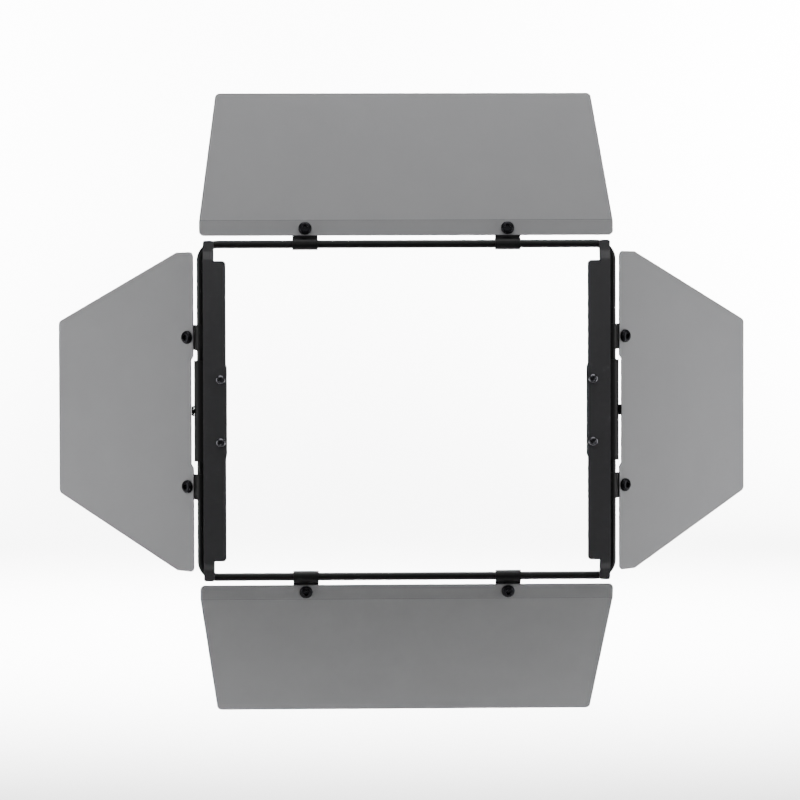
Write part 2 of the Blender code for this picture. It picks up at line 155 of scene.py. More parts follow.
def linear(hex_colour):
    """An sRGB hex colour as the linear values that Blender works in."""
    values = [int(hex_colour[start:start + 2], 16) / 255 for start in (1, 3, 5)]
    return [v / 12.92 if v <= 0.04045 else ((v + 0.055) / 1.055) ** 2.4 for v in values]


def size_field(name, description, millimetres):
    """A length that a user can change."""
    return bpy.props.FloatProperty(
        name=name, description=description, default=millimetres * MM, min=0.0, unit="LENGTH",
        subtype="DISTANCE", precision=4,
    )


def angle_field(name, description, degrees):
    """An angle that a user can change."""
    return bpy.props.FloatProperty(
        name=name, description=description, default=math.radians(degrees), subtype="ANGLE", unit="ROTATION",
    )


def colour_field(name, description, hex_colour):
    """A colour that a user can change."""
    return bpy.props.FloatVectorProperty(
        name=name, description=description, default=linear(hex_colour), size=3, min=0.0, max=1.0,
        subtype="COLOR",
    )


class BarSizes(bpy.types.PropertyGroup):
    """Sizes of the bar frame, on the bar's centre line."""

    radius: size_field("Radius", "Half the bar's thickness", 3.175)
    half_width: size_field("Half width", "Middle of the frame to an upright bar", 162.4)
    half_height: size_field("Half height", "Middle of the frame to a level bar", 131.3)
    corner: size_field("Corner", "Radius of the bar's bend at a corner", 12.8)


class LeafSizes(bpy.types.PropertyGroup):
    """Sizes and angles of the four leaves."""

    sheet: size_field("Sheet", "Thickness of the sheet", 1.0)
    level: size_field("Level", "Height of the sheet's back over the hinge axis", 1.6)
    setback: size_field("Setback", "Hinge axis to the leaf's near edge", 6.4)
    bend_radius: size_field("Bend radius", "Middle radius of the bend", 2.5)
    bend: angle_field("Bend", "How far the top and bottom panels bend from their flanges", 10)
    flange: size_field("Flange", "Near edge of the top leaf to its bend", 12.4)
    panel: size_field("Panel", "Bend of the top leaf to its far edge", 115.0)
    half_near: size_field("Half near edge", "Half the top leaf's length at the hinge", 163.6)
    half_far: size_field("Half far edge", "Half the top leaf's length at its far edge", 150.0)
    side_flange: size_field("Side flange", "Length of the side leaf's straight ends", 18.5)
    side_panel: size_field("Side panel", "Straight ends of the side leaf to its far edge", 136.5)
    side_half_near: size_field("Side half near edge", "Half the side leaf's length at the hinge", 126.5)
    side_half_kink: size_field("Side half kink", "Half the side leaf's length at its kink", 126.0)
    side_half_far: size_field("Side half far edge", "Half the side leaf's length at its far edge", 69.2)
    side_drop: size_field("Side drop", "How far the side leaves hang below the middle", 1.0)
    corner: size_field("Corner", "Radius of the leaf's corners", 4.0)
    relief: size_field("Relief", "Depth of the side leaf's notch behind the bracket", 2.5)
    relief_half: size_field("Half relief", "Half the length of the notch's floor", 41.1)
    relief_slope: size_field("Relief slope", "Run of the notch's sloping ends", 3.0)
    # The rounded edges take the darker edge colour, painted shade along the leaves' rims
    rim: size_field("Rim", "Rounding of the sheet's edges, where the coat thins", 0.3)
    top_tilt: angle_field("Top tilt", "Lean of the top leaf away from the lamp", 18.5)
    bottom_tilt: angle_field("Bottom tilt", "Lean of the bottom leaf away from the lamp", 25)
    left_tilt: angle_field("Left tilt", "Lean of the left leaf away from the lamp", 45.5)
    right_tilt: angle_field("Right tilt", "Lean of the right leaf away from the lamp", 44.5)


class ClipSizes(bpy.types.PropertyGroup):
    """Sizes of the hinge clips and the screws that hold them."""

    strip: size_field("Strip", "Thickness of the folded strip", 1.15)
    slit: size_field("Slit", "Gap between the clip's two legs", 0.3)
    bore: size_field("Bore", "Radius inside the fold", 3.475)
    width: size_field("Width", "Length of the clip along the bar", 20.0)
    reach: size_field("Reach", "Hinge axis to the ends of the legs", 18.0)
    fold: size_field("Fold", "Outer radius where the legs meet the fold", 1.5)
    hole: size_field("Hole", "Radius of the screw hole", 3.3)
    screw_reach: size_field("Screw reach", "Hinge axis to the screw", 12.2)
    top_offset: size_field("Top offset", "Middle of the top bar to a clip", 80.0)
    side_offset: size_field("Side offset", "Middle of the side bar to a clip", 59.0)
    rim: size_field("Rim", "Rounding of the strip's edges", 0.15)


class PlateSizes(bpy.types.PropertyGroup):
    """Sizes of the side plates and the brackets that hold them."""

    sheet: size_field("Sheet", "Thickness of the plate", 1.5)
    level: size_field("Level", "Height of the plate's back over the bar's middle", 5.775)
    tab_level: size_field("Tab level", "Height of a tab's back over the bar's middle", 3.475)
    inset: size_field("Inset", "Bar's middle to the plate's outer edge", 1.7)
    width: size_field("Width", "Width of the plate", 18.0)
    half_height: size_field("Half height", "Half the length of the wide part", 118.5)
    tab_width: size_field("Tab width", "Width of a tab", 8.7)
    tab_top: size_field("Tab top", "Middle of the plate to the end of a tab", 134.475)
    joggle: size_field("Joggle", "Length of the step from the plate to a tab", 7.0)
    corner: size_field("Corner", "Radius of the wide part's corners", 3.0)
    tab_corner: size_field("Tab corner", "Radius of a tab's corners", 2.0)
    screw_reach: size_field("Screw reach", "Bar's middle to a plate screw", 15.3)
    screw_offset: size_field("Screw offset", "Middle of the plate to a screw", 24.8)
    hole: size_field("Hole", "Radius of the screw holes", 2.3)
    bracket_sheet: size_field("Bracket sheet", "Thickness of the bracket", 2.0)
    bracket_reach: size_field("Bracket reach", "Bar's middle to the tongue's end", 20.5)
    bracket_half: size_field("Bracket half length", "Half the bracket's length", 39.7)
    bracket_corner: size_field("Bracket corner", "Radius of the tongue's corners", 6.0)
    bracket_roll: angle_field("Bracket roll", "How far the bracket is rolled round the bar", 305)
    rim: size_field("Rim", "Rounding of the sheets' edges", 0.25)


class DoorColours(bpy.types.PropertyGroup):
    """Colours of the finishes and of the studio."""

    leaf: colour_field("Leaf coat", "Powder coat on the leaves", "#868688")
    # Darker leaf colour for the rims and bends: painted shade along the edges and the crease
    leaf_shade_colour: colour_field("Leaf edge", "Coat on the leaves' edges and bends", "#6A6A6C")
    bar: colour_field("Bar coat", "Enamel on the bar, clips and brackets", "#0E0E0F")
    plate: colour_field("Plate coat", "Enamel on the side plates", "#3A3A3C")
    screw: colour_field("Screw", "Blackened steel of the hinge screws", "#1C1C1F")
    bright_screw: colour_field("Bright screw", "Burnished steel of the plate screws", "#66666A")
    nut: colour_field("Nut", "Zinc on the nuts", "#A9ABAF")
    floor: colour_field("Floor", "Painted sweep of floor and backdrop", "#CFCFCF")


# Materials


def add_node(tree, kind, links=(), **settings):
    """Add a node with its settings, then link (socket, source node, source socket) inputs."""
    node = tree.nodes.new(kind)
    for key, value in settings.items():
        if key in node.inputs:
            node.inputs[key].default_value = value
        else:
            setattr(node, key, value)
    for socket, source, output in links:
        tree.links.new(source.outputs[output], node.inputs[socket])
    return node


def coat_material(name, colour, roughness, grain, bump, mottle, metallic=0.0, ior=1.5):
    """A finish with a fine grain in its height and gloss and a broad mottle in its colour.

    grain is the size of the finest bumps in metres, and mottle the share by which the
    colour and the gloss wander over the surface.
    """
    material = bpy.data.materials.new(name)
    material.use_nodes = True
    tree = material.node_tree
    shader = tree.nodes["Principled BSDF"]
    shader.inputs["Metallic"].default_value = metallic
    if not metallic:
        shader.inputs["IOR"].default_value = ior
    place = add_node(tree, "ShaderNodeTexCoord")
    at = ("Vector", place, "Object")
    broad = add_node(tree, "ShaderNodeTexNoise", [at], Scale=1 / (45 * MM), Detail=4.0, Roughness=0.6)
    fine = add_node(tree, "ShaderNodeTexNoise", [at], Scale=1 / grain, Detail=3.0, Roughness=0.55)
    tone = add_node(
        tree, "ShaderNodeMapRange", [("Value", broad, "Fac")],
        **{"From Min": 0.3, "From Max": 0.7, "To Min": 1 - mottle, "To Max": 1 + mottle},
    )
    paint = add_node(
        tree, "ShaderNodeVectorMath", [("Scale", tone, "Result")], operation="SCALE", Vector=colour,
    )
    gloss = add_node(
        tree, "ShaderNodeMapRange", [("Value", fine, "Fac")],
        **{"From Min": 0.3, "From Max": 0.7, "To Min": roughness - mottle, "To Max": roughness + mottle},
    )
    relief = add_node(tree, "ShaderNodeBump", [("Height", fine, "Fac")], Strength=bump, Distance=0.05 * MM)
    tree.links.new(paint.outputs["Vector"], shader.inputs["Base Color"])
    tree.links.new(gloss.outputs["Result"], shader.inputs["Roughness"])
    tree.links.new(relief.outputs["Normal"], shader.inputs["Normal"])
    return material


def finish(name):
    """A finish of this object by its name, made the first time it is asked for."""
    known = bpy.data.materials.get(name)
    if known:
        return known
    colours = bpy.context.scene.door_colours
    recipes = {
        # Polyester powder baked on: matt, even, with a fine orange peel of about 0.8 mm
        "leaf_powder_coat": (colours.leaf, 0.55, 0.8 * MM, 0.25, 0.02),
        # The same powder, painted darker on the sheet's edges and bends: painted shade for the dark these
        # faces reflect, seen as a darker line
        "leaf_painted_shade": (colours.leaf_shade_colour, 0.5, 0.8 * MM, 0.2, 0.02),
        # Satin black enamel dipped over steel bar: soft highlights with a little waviness
        "satin_black_enamel": (colours.bar, 0.38, 1.2 * MM, 0.2, 0.03, 0.0, 1.3),
        # The same enamel sprayed thin on rolled strip: drier, with a tighter grain
        "matt_black_enamel": (colours.bar, 0.48, 0.7 * MM, 0.3, 0.03, 0.0, 1.3),
        # Charcoal enamel on the plates, rubbed matt as they slide in the lamp's slots
        "charcoal_enamel": (colours.plate, 0.33, 0.9 * MM, 0.25, 0.03),
        # Steel blackened in a hot bath and oiled: a dark metal that still glints
        "black_oxide_steel": (colours.screw, 0.28, 0.5 * MM, 0.15, 0.03, 0.85),
        # The clamp screws are painted over with the bracket, so they show as a dull black bump
        "dull_black_paint": (colours.bar, 0.9, 0.5 * MM, 0.05, 0.03, 0.0, 1.05),
        # The plate screws' black is rubbed through on the dome, which shows as a bright crescent
        "burnished_steel": (colours.bright_screw, 0.16, 0.5 * MM, 0.15, 0.03, 0.95),
        # Zinc plating, bright with a faint bloom
        "zinc_plated_steel": (colours.nut, 0.32, 0.6 * MM, 0.2, 0.03, 1.0),
    }
    return coat_material(name, *recipes[name])


# Shaping


class Wire:
    """A line in the XZ plane that grows from one vertex by straight runs and by turns."""

    def __init__(self, bm, x, z):
        self.bm = bm
        self.tip = bm.verts.new((x, 0.0, z))

    def run_to(self, x, z):
        """Grow straight to a point."""
        made = bmesh.ops.extrude_vert_indiv(self.bm, verts=[self.tip])["verts"]
        made[0].co = (x, 0.0, z)
        self.tip = made[0]

    def turn(self, x, z, angle, steps):
        """Grow round a centre; a positive angle turns Z towards X."""
        made = bmesh.ops.spin(
            self.bm, geom=[self.tip], cent=(x, 0, z), axis=(0, 1, 0), angle=angle, steps=steps,
        )
        self.tip = [item for item in made["geom_last"] if isinstance(item, bmesh.types.BMVert)][0]


def widen(bm, half_width):
    """Draw the wire out along Y into a strip, centred on Y = 0."""
    bmesh.ops.translate(bm, verts=bm.verts, vec=(0, -half_width, 0))
    made = bmesh.ops.extrude_edge_only(bm, edges=bm.edges[:])
    drawn = [item for item in made["geom"] if isinstance(item, bmesh.types.BMVert)]
    bmesh.ops.translate(bm, verts=drawn, vec=(0, 2 * half_width, 0))


def trim(bm, point, normal):
    """Cut away what lies past a plane."""
    geometry = bm.verts[:] + bm.edges[:] + bm.faces[:]
    bmesh.ops.bisect_plane(
        bm, geom=geometry, dist=1e-7, plane_co=point, plane_no=normal, clear_outer=True,
    )


def round_corners(bm, radius, chosen=None):
    """Round the outline's corners, or the chosen ones, before the sheet has a thickness."""
    for vert in bm.verts[:]:
        rim = [edge for edge in vert.link_edges if edge.is_boundary]
        if len(rim) != 2 or (chosen and not chosen(vert.co)):
            continue
        arms = [(edge.other_vert(vert).co - vert.co).normalized() for edge in rim]
        opening = arms[0].angle(arms[1])
        if opening > math.radians(155):
            continue
        bmesh.ops.bevel(
            bm, geom=[vert], offset=radius / math.tan(opening / 2), segments=8, profile=0.5,
            affect="VERTICES", material=-1,
        )


def prism(sides, radius, low, high):
    """A closed prism or cylinder along Z."""
    bm = bmesh.new()
    bmesh.ops.create_cone(
        bm, cap_ends=True, segments=sides, radius1=radius, radius2=radius, depth=high - low,
        matrix=Matrix.Translation((0, 0, (low + high) / 2)),
    )
    return bm


def turned(points, sides):
    """A closed solid turned round Z from a line of (radius, height) points."""
    bm = bmesh.new()
    wire = Wire(bm, *points[0])
    for point in points[1:]:
        wire.run_to(*point)
    bmesh.ops.spin(
        bm, geom=bm.verts[:] + bm.edges[:], cent=(0, 0, 0), axis=(0, 0, 1), angle=2 * math.pi,
        steps=sides, use_merge=True,
    )
    bmesh.ops.remove_doubles(bm, verts=bm.verts[:], dist=1e-6)
    bmesh.ops.recalc_face_normals(bm, faces=bm.faces)
    return bm


def as_object(name, bm):
    """A plain object from finished geometry."""
    mesh = bpy.data.meshes.new(name)
    bm.to_mesh(mesh)
    bm.free()
    piece = bpy.data.objects.new(name, mesh)
    bpy.context.collection.objects.link(piece)
    return piece


def add_modifier(piece, kind, **settings):
    """A modifier with its settings."""
    modifier = piece.modifiers.new(kind.lower(), kind)
    for key, value in settings.items():
        setattr(modifier, key, value)


def make_piece(name, bm, place, thickness=0.0, cuts=(), keeps=()):
    """Give a sheet its thickness, cut or crop it with closed shapes, and put it in its place."""
    piece = as_object(name, bm)
    if thickness:
        add_modifier(piece, "SOLIDIFY", thickness=thickness, offset=0.0, use_even_offset=True)
    tools = []
    for operation, shapes in (("INTERSECT", keeps), ("DIFFERENCE", cuts)):
        for shape in shapes:
            tools.append(as_object(name + "_tool", shape))
            add_modifier(piece, "BOOLEAN", operation=operation, solver="EXACT", object=tools[-1])
    solid = bpy.data.meshes.new_from_object(piece.evaluated_get(bpy.context.evaluated_depsgraph_get()))
    piece.modifiers.clear()
    for tool in tools:
        bpy.data.objects.remove(tool, do_unlink=True)
    bm = bmesh.new()
    bm.from_mesh(solid)
    bmesh.ops.transform(bm, matrix=place, verts=bm.verts)
    bmesh.ops.remove_doubles(bm, verts=bm.verts[:], dist=1e-6)
    bmesh.ops.recalc_face_normals(bm, faces=bm.faces)
    bm.to_mesh(piece.data)
    bm.free()
    piece.data.name = name
    return piece


def dress(piece, materials, rim, body, node):
    """Round the edges, give the piece its finish and hand it to the frame in its node's stead."""
    for material in materials:
        piece.data.materials.append(finish(material))
    piece.data.polygons.foreach_set("use_smooth", [True] * len(piece.data.polygons))
    if rim:
        # The rounded rim takes the last material; on the leaves that is the darker edge colour, painted
        # shade
        add_modifier(
            piece, "BEVEL", width=rim, segments=3, limit_method="ANGLE", angle_limit=SHARP_ANGLE,
            material=len(materials) - 1, use_clamp_overlap=True,
        )
    else:
        piece.data.set_sharp_from_angle(angle=SHARP_ANGLE)
    add_modifier(piece, "WEIGHTED_NORMAL", keep_sharp=True, weight=80)
    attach(piece, body)
    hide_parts(node)


def side_frame(quarter_turns, distance, drop, tilt):
    """A side's frame: X out from the bar, Y along it and Z towards the lamp."""
    side = Matrix.Rotation(-quarter_turns * math.pi / 2, 4, "Y")
    out = side @ Vector((distance, 0, 0))
    stand = Matrix.Rotation(math.pi / 2, 4, "X")
    lean = Matrix.Rotation(tilt, 4, "Y")
    return Matrix.Translation(out - Vector((0, 0, drop))) @ side @ stand @ lean


def leaf_sides():
    """Each leaf's name, hinge frame and clip offset."""
    bar = bpy.context.scene.door_bar
    leaf = bpy.context.scene.door_leaf
    clip = bpy.context.scene.door_clip
    tilts = {
        "top": leaf.top_tilt, "bottom": leaf.bottom_tilt, "left": leaf.left_tilt, "right": leaf.right_tilt,
    }
    for side, turns in TOP_BOTTOM:
        yield side, side_frame(turns, bar.half_height, 0.0, tilts[side]), clip.top_offset
    for side, turns in LEFT_RIGHT:
        yield side, side_frame(turns, bar.half_width, leaf.side_drop, tilts[side]), clip.side_offset


def plate_sides():
    """Each side plate's name and frame, whose X runs in from the bar."""
    bar = bpy.context.scene.door_bar
    for side, turns in LEFT_RIGHT:
        yield side, side_frame(turns, bar.half_width, 0.0, 0.0) @ Matrix.Rotation(math.pi, 4, "Z")


def at(x, y, z):
    """A place with no turn."""
    return Matrix.Translation((x, y, z))


class DOOR_OT_bar_frame(bpy.types.Operator):
    """Bend the bar into a rounded rectangle"""

    bl_idname = "door.bar_frame"
    bl_label = "Bar Frame"

    def execute(self, context):
        bar = context.scene.door_bar
        run_x = 2 * (bar.half_width - bar.corner)
        run_z = 2 * (bar.half_height - bar.corner)
        bm = bmesh.new()
        start = Vector((-run_x / 2, 0, bar.half_height))
        bmesh.ops.create_circle(
            bm, segments=32, radius=bar.radius,
            matrix=Matrix.Translation(start) @ Matrix.Rotation(math.pi / 2, 4, "Y"),
        )
        ring = bm.edges[:]
        centre = Vector((run_x / 2, 0, run_z / 2))
        for corner in range(4):
            along = Vector((1, 0, 0))
            along.rotate(Matrix.Rotation(corner * math.pi / 2, 3, "Y"))
            made = bmesh.ops.extrude_edge_only(bm, edges=ring)["geom"]
            moved = [item for item in made if isinstance(item, bmesh.types.BMVert)]
            bmesh.ops.translate(bm, verts=moved, vec=along * (run_x, run_z)[corner % 2])
            bend = [item for item in made if isinstance(item, bmesh.types.BMEdge) and item.is_boundary]
            made = bmesh.ops.spin(
                bm, geom=bend, cent=centre, axis=(0, 1, 0), angle=math.pi / 2, steps=14,
            )["geom_last"]
            ring = [item for item in made if isinstance(item, bmesh.types.BMEdge)]
            centre += Vector(((0, 0, -run_z), (-run_x, 0, 0), (0, 0, run_z), (run_x, 0, 0))[corner])
        bmesh.ops.remove_doubles(bm, verts=bm.verts[:], dist=1e-5)
        bmesh.ops.recalc_face_normals(bm, faces=bm.faces)
        piece = as_object("bar", bm)
        dress(piece, ["satin_black_enamel"], 0.0, "frame", "bar_frame")
        return {"FINISHED"}


class DOOR_OT_leaves(bpy.types.Operator):
    """Cut, bend and drill the four leaves"""

    bl_idname = "door.leaves"
    bl_label = "Leaves"

    def execute(self, context):
        leaf = context.scene.door_leaf
        clip = context.scene.door_clip
        for side, place, offset in leaf_sides():
            middle = leaf.level + leaf.sheet / 2
            upright = side in ("left", "right")
            flange = leaf.side_flange if upright else leaf.flange
            panel = leaf.side_panel if upright else leaf.panel
            bend = 0.0 if upright else leaf.bend
            near = leaf.side_half_near if upright else leaf.half_near
            kink = leaf.side_half_kink if upright else leaf.half_near
            far = leaf.side_half_far if upright else leaf.half_far
            bm = bmesh.new()
            wire = Wire(bm, leaf.setback, middle)
            wire.run_to(leaf.setback + flange, middle)
            start = wire.tip.co.copy()
            if bend:
                wire.turn(start.x, middle - leaf.bend_radius, bend, 6)
            tip = wire.tip.co.copy()
            wire.run_to(tip.x + panel * math.cos(bend), tip.z - panel * math.sin(bend))
            end = wire.tip.co.copy()
            widen(bm, near)
            face = Vector((math.sin(bend), 0, math.cos(bend)))
            for way in (-1, 1):
                slope = end + Vector((0, way * far, 0)) - (start + Vector((0, way * kink, 0)))
                trim(bm, start + Vector((0, way * kink, 0)), slope.cross(face) * -way)
            if upright:
                hinge_end = Vector((leaf.setback, 0, middle))
                for way in (-1, 1):
                    slope = start + Vector((0, way * kink, 0)) - (hinge_end + Vector((0, way * near, 0)))
                    trim(bm, hinge_end + Vector((0, way * near, 0)), slope.cross(face) * -way)
            round_corners(bm, leaf.corner, lambda co: abs(co.x - start.x) > 1 * MM)
            cuts = []
            for way in (-1, 1):
                hole = prism(HOLE_SIDES, clip.hole, 0.0, 2 * middle)
                bmesh.ops.translate(hole, verts=hole.verts, vec=(clip.screw_reach, way * offset, 0))
                cuts.append(hole)
            if upright:
                cuts.append(self.notch(leaf))
            piece = make_piece(side + "_leaf_sheet", bm, place, leaf.sheet, cuts)
            # The faces between the flange and the panel are the bend; they get the darker edge colour,
            # painted shade along the crease
            to_local = place.to_3x3().transposed()
            for polygon in piece.data.polygons:
                lean = abs((to_local @ polygon.normal).x)
                if BEND_START * math.sin(bend) < lean < BEND_END * math.sin(bend):
                    polygon.material_index = 1
            dress(
                piece, ["leaf_powder_coat", "leaf_painted_shade"], leaf.rim, side + "_leaf",
                side + "_leaf",
            )
        return {"FINISHED"}

    @staticmethod
    def notch(leaf):
        """The block that cuts the notch behind the bracket, wider at the leaf's edge."""
        bm = bmesh.new()
        bmesh.ops.create_cube(bm, size=1.0)
        depth = 2 * leaf.relief
        bmesh.ops.scale(bm, vec=(depth, 2 * leaf.relief_half, 2 * leaf.level), verts=bm.verts)
        near = [vert for vert in bm.verts if vert.co.x < 0]
        bmesh.ops.scale(
            bm, vec=(1, 1 + 2 * leaf.relief_slope / leaf.relief_half, 1), verts=near,
        )
        bmesh.ops.translate(bm, vec=(leaf.setback, 0, leaf.level + leaf.sheet / 2), verts=bm.verts)
        return bm


class DOOR_OT_clips(bpy.types.Operator):
    """Fold the eight hinge clips round the bar"""

    bl_idname = "door.clips"
    bl_label = "Hinge Clips"

    def execute(self, context):
        clip = context.scene.door_clip
        middle = clip.bore + clip.strip / 2
        leg = clip.slit / 2 + clip.strip / 2
        fillet = clip.fold + clip.strip / 2
        blend_z = leg + fillet
        blend_x = math.sqrt((middle + fillet) ** 2 - blend_z ** 2)
        lean = math.atan2(blend_z, blend_x)
        swing = math.pi / 2 - lean
        for side, place, offset in leaf_sides():
            for number, way in PAIR:
                bm = bmesh.new()
                wire = Wire(bm, clip.reach, leg)
                wire.run_to(blend_x, leg)
                wire.turn(blend_x, blend_z, swing, 6)
                wire.turn(0.0, 0.0, -(2 * math.pi - 2 * lean), 40)
                wire.turn(blend_x, -blend_z, swing, 6)
                wire.run_to(clip.reach, -leg)
                widen(bm, clip.width / 2)
                round_corners(bm, CLIP_CORNER)
                hole = prism(HOLE_SIDES, clip.hole, -4 * leg, 4 * leg)
                bmesh.ops.translate(hole, verts=hole.verts, vec=(clip.screw_reach, 0, 0))
                there = place @ at(0, way * offset, 0)
                piece = make_piece(f"{side}_clip_strip_{number}", bm, there, clip.strip, [hole])
                dress(
                    piece, ["matt_black_enamel"], clip.rim, side + "_leaf",
                    f"{side}_clip_{number}",
                )
        return {"FINISHED"}


class DOOR_OT_side_plates(bpy.types.Operator):
    """Cut and joggle the two side plates"""

    bl_idname = "door.side_plates"
    bl_label = "Side Plates"

    def execute(self, context):
        plate = context.scene.door_plate
        for side, place in plate_sides():
            bm = bmesh.new()
            inner = plate.inset + plate.width
            tab = plate.inset + plate.tab_width
            wire = Wire(bm, plate.inset, 0.0)
            wire.run_to(tab, 0.0)
            wire.run_to(inner, 0.0)
            widen(bm, plate.tab_top)
            for way in (-1, 1):
                geometry = bm.verts[:] + bm.edges[:] + bm.faces[:]
                bmesh.ops.bisect_plane(
                    bm, geom=geometry, dist=1e-7, plane_co=(0, way * plate.half_height, 0),
                    plane_no=(0, 1, 0),
                )
            spare = [
                face for face in bm.faces
                if abs(face.calc_center_median().y) > plate.half_height
                and face.calc_center_median().x > tab
            ]
            bmesh.ops.delete(bm, geom=spare, context="FACES")
            round_corners(bm, plate.corner, lambda co: co.x > inner - MM)
            round_corners(bm, plate.tab_corner, lambda co: abs(co.y) > plate.tab_top - MM)
            start = plate.half_height + JOGGLE_START
            steps = 8
            for way in (-1, 1):
                for step in range(steps + 1):
                    geometry = bm.verts[:] + bm.edges[:] + bm.faces[:]
                    bmesh.ops.bisect_plane(
                        bm, geom=geometry, dist=1e-7,
                        plane_co=(0, way * (start + plate.joggle * step / steps), 0), plane_no=(0, 1, 0),
                    )
            middle = plate.level + plate.sheet / 2
            drop = plate.level - plate.tab_level
            for vert in bm.verts:
                past = min(max((abs(vert.co.y) - start) / plate.joggle, 0.0), 1.0)
                vert.co.z = middle - drop * past * past * (3 - 2 * past)
            cuts = []
            for way in (-1, 1):
                hole = prism(HOLE_SIDES, plate.hole, 0.0, 2 * middle)
                where = (plate.screw_reach, way * plate.screw_offset, 0)
                bmesh.ops.translate(hole, verts=hole.verts, vec=where)
                cuts.append(hole)
            piece = make_piece(side + "_plate_sheet", bm, place, plate.sheet, cuts)
            dress(piece, ["charcoal_enamel"], plate.rim, "frame", side + "_side_plate")
        return {"FINISHED"}


class DOOR_OT_brackets(bpy.types.Operator):
    """Roll the two brackets round the bar"""

    bl_idname = "door.brackets"
    bl_label = "Brackets"

    def execute(self, context):
        plate = context.scene.door_plate
        clip = context.scene.door_clip
        radius = clip.bore + plate.bracket_sheet / 2
        for side, place in plate_sides():
            bm = bmesh.new()
            wire = Wire(bm, plate.bracket_reach, radius)
            wire.run_to(0.0, radius)
            wire.turn(0.0, 0.0, -plate.bracket_roll, 48)
            widen(bm, plate.bracket_half)
            round_corners(bm, plate.bracket_corner, lambda co: co.x > plate.bracket_reach - MM)
            round_corners(bm, 0.8 * MM)
            cuts = []
            for way in (-1, 1):
                hole = prism(HOLE_SIDES, plate.hole, 0.0, 2 * radius)
                where = (plate.screw_reach, way * plate.screw_offset, 0)
                bmesh.ops.translate(hole, verts=hole.verts, vec=where)
                cuts.append(hole)
            hole = prism(HOLE_SIDES, plate.hole, 0.0, 2 * radius)
            bmesh.ops.rotate(
                hole, verts=hole.verts, cent=(0, 0, 0), matrix=Matrix.Rotation(-math.pi / 2, 3, "Y"),
            )
            cuts.append(hole)
            piece = make_piece(side + "_bracket_strip", bm, place, plate.bracket_sheet, cuts)
            dress(piece, ["matt_black_enamel"], plate.rim, "frame", side + "_bracket")
        return {"FINISHED"}


def screw_solid(name, place, sizes, length):
    """A button head screw: domed head, hexagon socket and a grooved shank."""
    thread, head, height, flat, rim, flats, depth, pitch = sizes
    points = [(0.0, height), (flat, height)]
    for step in range(1, 9):
        angle = math.pi / 2 * (1 - step / 8)
        points.append((flat + (head - flat) * math.cos(angle), rim + (height - rim) * math.sin(angle)))
    root = thread - 0.5 * pitch
    points += [(head, 0.15 * MM), (head - 0.15 * MM, 0.0), (thread, 0.0)]
    turns = int((length - 0.4 * MM) / pitch)
    for turn in range(turns):
        low = -length + 0.4 * MM + (turns - turn - 0.5) * pitch
        points += [(thread, low + 0.45 * pitch), (root, low), (thread, low - 0.45 * pitch)]
    points += [(thread, 0.4 * MM - length), (thread - 0.4 * MM, -length), (0.0, -length)]
    socket = prism(6, flats / math.sqrt(3), height - depth, height + depth)
    mouth = turned(
        [(0.0, height - 0.3 * MM), (flats / 2, height - 0.3 * MM), (flats / 2 + 0.6 * MM, height + 0.3 * MM),
         (0.0, height + 0.3 * MM)], 40,
    )
    return make_piece(name, turned(points, 56), place, cuts=[socket, mouth])


class DOOR_OT_screws(bpy.types.Operator):
    """Turn the hinge screws, plate screws and clamp screws"""

    bl_idname = "door.screws"
    bl_label = "Screws"

    def execute(self, context):
        clip = context.scene.door_clip
        plate = context.scene.door_plate
        for side, place, offset in leaf_sides():
            for number, way in PAIR:
                there = place @ at(clip.screw_reach, way * offset, HINGE_SCREW_LEVEL)
                name = f"{side}_leaf_bolt_{number}"
                piece = screw_solid(name, there, HINGE_SCREW, HINGE_SCREW_LENGTH)
                node = f"{side}_hinge_screw_{number}"
                dress(piece, ["black_oxide_steel"], 0.0, side + "_leaf", node)
        for side, place in plate_sides():
            for number, way in PAIR:
                there = place @ at(plate.screw_reach, way * plate.screw_offset, PLATE_SCREW_LEVEL)
                name = f"{side}_plate_bolt_{number}"
                piece = screw_solid(name, there, PLATE_SCREW, PLATE_SCREW_LENGTH)
                dress(piece, ["burnished_steel"], 0.0, "frame", f"{side}_plate_screw_{number}")
            there = place @ at(CLAMP_SCREW_LEVEL, 0, 0) @ Matrix.Rotation(-math.pi / 2, 4, "Y")
            piece = screw_solid(side + "_clamp_bolt", there, CLAMP_SCREW, CLAMP_SCREW_LENGTH)
            dress(piece, ["dull_black_paint"], 0.0, "frame", side + "_clamp_screw")
        return {"FINISHED"}


def nut_solid(name, place, flats, height, bore):
    """A hexagon nut with its corners chamfered on both faces and its bore eased."""
    corner = flats / math.sqrt(3)
    ease = corner - flats / 2
    body = prism(6, corner, 0.0, height)
    crown = turned([
        (0.0, 0.0), (flats / 2, 0.0), (corner, 0.6 * ease), (corner, height - 0.6 * ease),
        (flats / 2, height), (0.0, height),
    ], 48)
    hole = turned([
        (0.0, -MM), (bore + MM + 0.3 * MM, -MM), (bore, 0.3 * MM), (bore, height - 0.3 * MM),
        (bore + MM + 0.3 * MM, height + MM), (0.0, height + MM),
    ], 48)
    return make_piece(name, body, place, cuts=[hole], keeps=[crown])


class DOOR_OT_nuts(bpy.types.Operator):
    """Make the press nuts and the plate nuts"""

    bl_idname = "door.nuts"
    bl_label = "Nuts"

    def execute(self, context):
        clip = context.scene.door_clip
        plate = context.scene.door_plate
        for side, place, offset in leaf_sides():
            for number, way in PAIR:
                there = place @ at(clip.screw_reach, way * offset, PRESS_NUT_LEVEL)
                name = f"{side}_press_nut_{number}"
                piece = nut_solid(name, there, *PRESS_NUT)
                node = f"{side}_hinge_nut_{number}"
                dress(piece, ["zinc_plated_steel"], 0.0, side + "_leaf", node)
        for side, place in plate_sides():
            for number, way in PAIR:
                there = place @ at(plate.screw_reach, way * plate.screw_offset, HEX_NUT_LEVEL)
                name = f"{side}_hex_nut_{number}"
                piece = nut_solid(name, there, *HEX_NUT)
                dress(piece, ["zinc_plated_steel"], 0.0, "frame", f"{side}_plate_nut_{number}")
        return {"FINISHED"}


